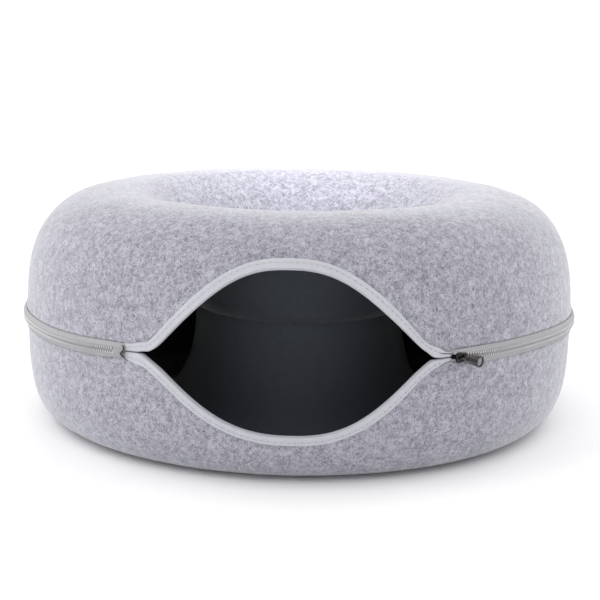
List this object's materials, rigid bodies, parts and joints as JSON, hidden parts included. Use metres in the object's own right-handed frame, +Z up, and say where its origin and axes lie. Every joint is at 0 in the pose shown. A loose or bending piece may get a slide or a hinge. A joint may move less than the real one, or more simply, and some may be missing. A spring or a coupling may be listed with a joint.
{
  "type": "cat play tunnel",
  "caption": "Round hollow felt play tunnel for a pet, zipped round the back, with a bound open doorway in front and an open well through the middle.",
  "frame": {"origin": "centre of the part's box, on the floor it stands on", "axes": "+Z up, -Y out of the doorway, +X towards the side that carries the zip slider"},
  "size_m": [0.6092, 0.6034, 0.2455],
  "materials": {
    "felt": "heathered light grey moulded felt",
    "binding_tape": "pale grey woven tape",
    "zip_tape": "warm grey woven zip tape",
    "zip_coil": "grey nylon coil",
    "gunmetal": "dark gunmetal plating",
    "dark_thread": "dark grey sewing thread"
  },
  "bodies": {
    "root": {"upper_shell": "felt", "lower_shell": "felt", "upper_binding": "binding_tape", "lower_binding": "binding_tape", "zip_tape_upper": "zip_tape", "zip_tape_lower": "zip_tape", "zip_chain": "zip_coil", "zip_slider": "gunmetal", "zip_pull": "gunmetal", "zip_end_tack": "dark_thread"}
  },
  "joints": []
}
